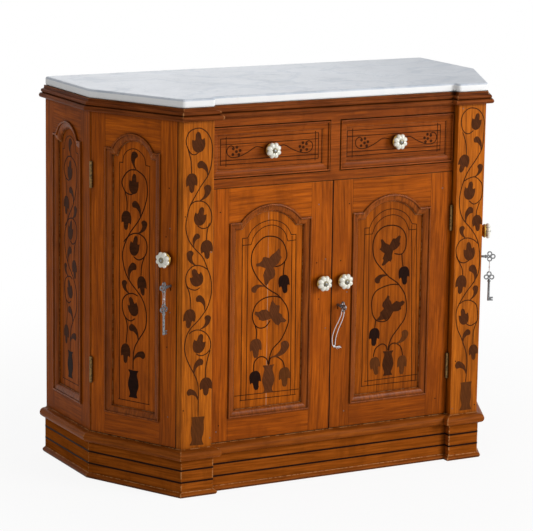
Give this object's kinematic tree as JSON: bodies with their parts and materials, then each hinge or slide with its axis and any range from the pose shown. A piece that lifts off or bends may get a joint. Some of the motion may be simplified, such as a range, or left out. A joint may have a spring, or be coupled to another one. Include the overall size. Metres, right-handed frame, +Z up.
{
  "type": "side cabinet",
  "caption": "Marble-topped teak side cabinet with canted ends: inlaid frieze drawers and arched-panel doors between inlaid pilasters, a door in each cant, melon knobs and keys.",
  "frame": {"origin": "middle of the footprint box at floor level", "axes": "+X right seen from the front, +Y towards the back, +Z up; the doors and drawers face -Y"},
  "size_m": [1.056, 0.506, 0.9],
  "materials": {
    "marble": "polished white marble with faint bluish veins, a little worn",
    "teak": "waxed teak, amber brown",
    "dark_teak": "waxed teak, darker red brown",
    "honey_teak": "waxed teak, lighter honey brown, inlaid",
    "inner_wood": "plain unpolished hardwood",
    "porcelain": "glazed white porcelain",
    "aged_brass": "aged brass",
    "old_iron": "worn steel",
    "thread": "white cotton string"
  },
  "bodies": {
    "carcass": {"marble_top": "marble", "top_board": "teak", "cornice": "dark_teak", "pilasters": "honey_teak", "side_frames": "teak", "side_panels": "teak", "side_mouldings": "dark_teak", "back_boards": "inner_wood", "partitions": "inner_wood", "floor_and_shelves": "inner_wood", "drawer_framing": "teak", "plinth_boards": "teak", "plinth_mouldings": "dark_teak", "hinge_frame_leaves": "aged_brass"},
    "drawer_left": {"drawer_left_front": "dark_teak", "drawer_left_box": "inner_wood", "drawer_left_knob": "porcelain", "drawer_left_knob_mount": "aged_brass"},
    "drawer_right": {"drawer_right_front": "dark_teak", "drawer_right_box": "inner_wood", "drawer_right_knob": "porcelain", "drawer_right_knob_mount": "aged_brass"},
    "door_left": {"door_left_frame": "teak", "door_left_panel": "teak", "door_left_moulding": "dark_teak", "door_left_hinges": "aged_brass", "door_left_knob": "porcelain", "door_left_knob_mount": "aged_brass"},
    "door_right": {"door_right_frame": "teak", "door_right_panel": "teak", "door_right_moulding": "dark_teak", "door_right_hinges": "aged_brass", "door_right_knob": "porcelain", "door_right_knob_mount": "aged_brass", "door_right_lock": "old_iron"},
    "side_door_left": {"side_door_left_frame": "teak", "side_door_left_panel": "teak", "side_door_left_moulding": "dark_teak", "side_door_left_hinges": "aged_brass", "side_door_left_knob": "porcelain", "side_door_left_knob_mount": "aged_brass", "side_door_left_lock": "old_iron"},
    "side_door_right": {"side_door_right_frame": "teak", "side_door_right_panel": "teak", "side_door_right_moulding": "dark_teak", "side_door_right_hinges": "aged_brass", "side_door_right_knob": "porcelain", "side_door_right_knob_mount": "aged_brass", "side_door_right_lock": "old_iron"},
    "centre_key": {"key_centre": "old_iron"},
    "left_key": {"key_left": "old_iron"},
    "right_key": {"key_right": "old_iron"},
    "centre_bolt": {"lock_bolt_centre": "old_iron"},
    "left_bolt": {"lock_bolt_left": "old_iron"},
    "right_bolt": {"lock_bolt_right": "old_iron"},
    "centre_string": {"string_loop": "thread"},
    "left_spare": {"spare_key_left": "old_iron", "tie_left": "thread"},
    "right_spare": {"spare_key_right": "old_iron", "tie_right": "thread"}
  },
  "joints": [
    {"name": "drawer_left_slide", "type": "slide", "parent": "carcass", "child": "drawer_left", "axis": [0, -1, 0], "range_m": [0, 0.3]},
    {"name": "drawer_right_slide", "type": "slide", "parent": "carcass", "child": "drawer_right", "axis": [0, -1, 0], "range_m": [0, 0.3]},
    {"name": "door_left_hinge", "type": "hinge", "parent": "carcass", "child": "door_left", "pos_m": [-0.3142, -0.2187, 0.402], "axis": [0, 0, -1], "range_deg": [0, 95]},
    {"name": "door_right_hinge", "type": "hinge", "parent": "carcass", "child": "door_right", "pos_m": [0.3142, -0.2187, 0.402], "axis": [0, 0, 1], "range_deg": [0, 95]},
    {"name": "side_door_left_hinge", "type": "hinge", "parent": "carcass", "child": "side_door_left", "pos_m": [-0.51032, -0.00274, 0.481], "axis": [0, 0, -1], "range_deg": [0, 110]},
    {"name": "side_door_right_hinge", "type": "hinge", "parent": "carcass", "child": "side_door_right", "pos_m": [0.51032, -0.00274, 0.481], "axis": [0, 0, 1], "range_deg": [0, 110]},
    {"name": "centre_key_turn", "type": "hinge", "parent": "door_right", "child": "centre_key", "pos_m": [0.01475, -0.215, 0.402], "axis": [0, -1, 0], "range_deg": [0, 90]},
    {"name": "left_key_turn", "type": "hinge", "parent": "side_door_left", "child": "left_key", "pos_m": [-0.40778, -0.20294, 0.481], "axis": [0.8974, 0.4412, 0], "range_deg": [0, 90]},
    {"name": "right_key_turn", "type": "hinge", "parent": "side_door_right", "child": "right_key", "pos_m": [0.40778, -0.20294, 0.481], "axis": [0.8974, -0.4412, 0], "range_deg": [0, 90]},
    {"name": "centre_bolt_slide", "type": "slide", "parent": "door_right", "child": "centre_bolt", "axis": [-1, 0, 0], "range_m": [0, 0.0081]},
    {"name": "left_bolt_slide", "type": "slide", "parent": "side_door_left", "child": "left_bolt", "axis": [0.4412, -0.8974, 0], "range_m": [0, 0.0083]},
    {"name": "right_bolt_slide", "type": "slide", "parent": "side_door_right", "child": "right_bolt", "axis": [-0.4412, -0.8974, 0], "range_m": [0, 0.0083]},
    {"name": "centre_string_hang", "type": "hinge", "parent": "centre_key", "child": "centre_string", "pos_m": [0.01475, -0.239, 0.3908], "axis": [0, -1, 0], "range_deg": [-93, 0]},
    {"name": "left_spare_hang", "type": "hinge", "parent": "left_key", "child": "left_spare", "pos_m": [-0.42932, -0.21352, 0.4698], "axis": [0.8974, 0.4412, 0], "range_deg": [-93, 0]},
    {"name": "right_spare_hang", "type": "hinge", "parent": "right_key", "child": "right_spare", "pos_m": [0.42932, -0.21352, 0.4698], "axis": [0.8974, -0.4412, 0], "range_deg": [-93, 0]}
  ],
  "couplings": [
    {"joint": "centre_bolt_slide", "follows": "centre_key_turn", "m_per_rad": 0.00509},
    {"joint": "left_bolt_slide", "follows": "left_key_turn", "m_per_rad": 0.00509},
    {"joint": "right_bolt_slide", "follows": "right_key_turn", "m_per_rad": 0.00509},
    {"joint": "centre_string_hang", "follows": "centre_key_turn", "ratio": -1},
    {"joint": "left_spare_hang", "follows": "left_key_turn", "ratio": -1},
    {"joint": "right_spare_hang", "follows": "right_key_turn", "ratio": -1}
  ]
}
